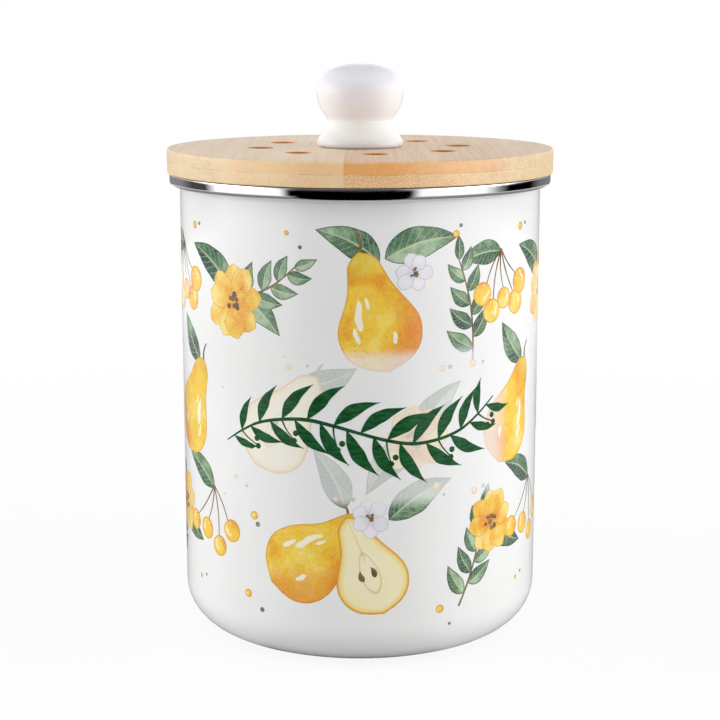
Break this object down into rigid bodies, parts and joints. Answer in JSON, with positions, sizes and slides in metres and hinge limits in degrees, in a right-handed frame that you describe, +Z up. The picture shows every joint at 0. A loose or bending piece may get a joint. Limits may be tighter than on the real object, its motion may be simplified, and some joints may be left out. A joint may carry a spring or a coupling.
{
  "type": "compost caddy",
  "caption": "Round enamelled steel countertop food-waste caddy with a steel rim and a lift-off vented bamboo lid that has a ceramic knob and a twist-off filter tray.",
  "frame": {"origin": "centre of the base, on the worktop", "axes": "+Z up along the canister's axis, -Y towards the viewer, +X to the viewer's right"},
  "size_m": [0.17, 0.17, 0.2504],
  "materials": {
    "enamel": "gloss",
    "polished_steel": "polished",
    "bamboo": "satin",
    "silicone": "matte",
    "glaze": "gloss",
    "brass": "machined",
    "plated_steel": "bright zinc",
    "white_plastic": "satin",
    "charcoal_felt": "felt"
  },
  "bodies": {
    "canister": {"canister_shell": "enamel", "steel_rim": "polished_steel"},
    "lid": {"lid_top_ply": "bamboo", "lid_bottom_ply": "bamboo", "lid_plug_ring": "bamboo", "lid_seal": "silicone", "knob": "glaze", "knob_insert": "brass", "knob_screw": "plated_steel", "knob_washer": "plated_steel", "filter_seat": "white_plastic", "filter_seat_screws": "plated_steel"},
    "filter_tray": {"filter_cover": "white_plastic", "charcoal_filter": "charcoal_felt"}
  },
  "joints": [
    {"name": "lid_lift", "type": "slide", "parent": "canister", "child": "lid", "axis": [0, 0, 1], "range_m": [0, 0.25]},
    {"name": "cover_twist", "type": "hinge", "parent": "lid", "child": "filter_tray", "pos_m": [0, 0, 0.1956], "axis": [0, 0, -1], "range_deg": [0, 40]}
  ]
}
